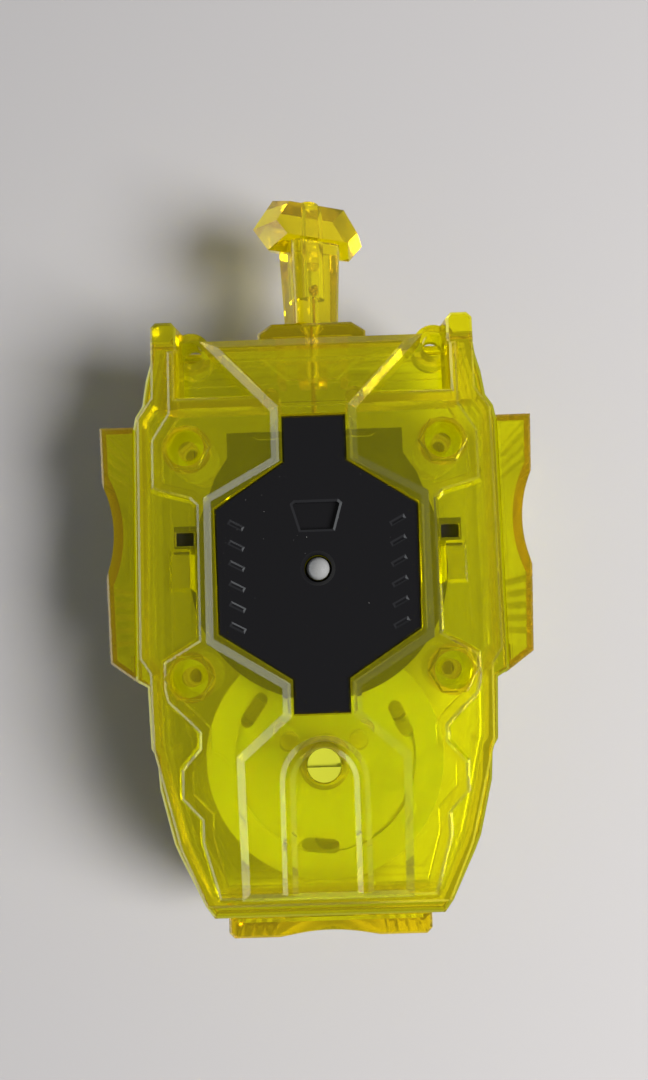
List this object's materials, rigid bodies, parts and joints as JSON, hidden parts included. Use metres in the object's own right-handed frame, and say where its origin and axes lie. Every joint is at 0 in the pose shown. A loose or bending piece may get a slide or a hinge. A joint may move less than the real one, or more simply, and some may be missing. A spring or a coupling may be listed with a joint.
{
  "type": "spinning top launcher",
  "caption": "Translucent string-pull launcher: a handle unwinds a spring-wound spool whose gears spin a pronged rotor under a ribbed case with finger grips.",
  "frame": {"origin": "on the rotor's axis, at the nose of the hub that a top fits round", "axes": "+Z out of the black top plate, +Y towards the pull handle, +X to the right when seen from above with the handle ahead"},
  "size_m": [0.0778, 0.1318, 0.0358],
  "materials": {
    "case_plastic": "clear fluorescent yellow moulding, polished outside",
    "handle_plastic": "clear amber yellow moulding with cut facets",
    "plate_black": "glossy black with fine scuffs and dust",
    "disc_black": "satin black",
    "rotor_plastic": "dark grey acetal, satin",
    "spool_plastic": "pale satin moulding",
    "gear_plastic": "white acetal, satin",
    "arbor_plastic": "yellow moulding",
    "pin_plastic": "white acetal, polished by use",
    "steel": "zinc plated",
    "spring_steel": "drawn, oiled",
    "brass": "turned",
    "string": "braided cord"
  },
  "bodies": {
    "housing": {"upper_case": "case_plastic", "lower_case": "case_plastic", "top_plate": "plate_black", "bearing_disc": "disc_black", "disc_screws": "steel", "case_screws": "steel", "side_grip_right": "case_plastic", "side_grip_left": "case_plastic", "rear_grip": "case_plastic", "string_guide": "handle_plastic", "guide_pins": "steel", "spring_arbor": "arbor_plastic", "idler_pin": "steel", "spindle_bush": "brass", "thrust_washer": "steel"},
    "spool": {"spool_gear": "spool_plastic", "spool_cap": "spool_plastic", "spring_cover": "spool_plastic", "string_winding": "string", "clock_spring": "spring_steel"},
    "idler": {"idler_gear": "gear_plastic"},
    "rotor": {"prong_rotor": "rotor_plastic", "output_gear": "gear_plastic", "retaining_clip": "steel"},
    "handle": {"pull_handle": "handle_plastic", "handle_plug": "handle_plastic", "string_knot": "string", "pull_string": "string"},
    "pin": {"sensor_pin": "pin_plastic", "pin_spring": "spring_steel"}
  },
  "joints": [
    {"name": "handle_pull", "type": "slide", "parent": "housing", "child": "handle", "axis": [0, 1, 0], "range_m": [0, 0.5], "stiffness_N_per_m": 6, "springref_m": -0.15, "deforming": ["pull_string"]},
    {"name": "spool_spin", "type": "hinge", "parent": "housing", "child": "spool", "pos_m": [0, -0.032, 0.012], "axis": [0, 0, 1], "range_deg": [0, 2300], "deforming": ["clock_spring"]},
    {"name": "idler_spin", "type": "hinge", "parent": "housing", "child": "idler", "pos_m": [-0.00915, -0.00895, 0.012], "axis": [0, 0, 1], "range_deg": [-6600, 0]},
    {"name": "rotor_spin", "type": "hinge", "parent": "housing", "child": "rotor", "pos_m": [0, 0, 0.012], "axis": [0, 0, 1], "range_deg": [0, 6600]},
    {"name": "sensor_pin_slide", "type": "slide", "parent": "housing", "child": "pin", "axis": [0, 0, 1], "range_m": [0, 0.002], "stiffness_N_per_m": 40, "springref_m": -0.002, "deforming": ["pin_spring"]}
  ],
  "couplings": [
    {"joint": "spool_spin", "follows": "handle_pull", "rad_per_m": 80},
    {"joint": "idler_spin", "follows": "handle_pull", "rad_per_m": -230},
    {"joint": "rotor_spin", "follows": "handle_pull", "rad_per_m": 230}
  ]
}
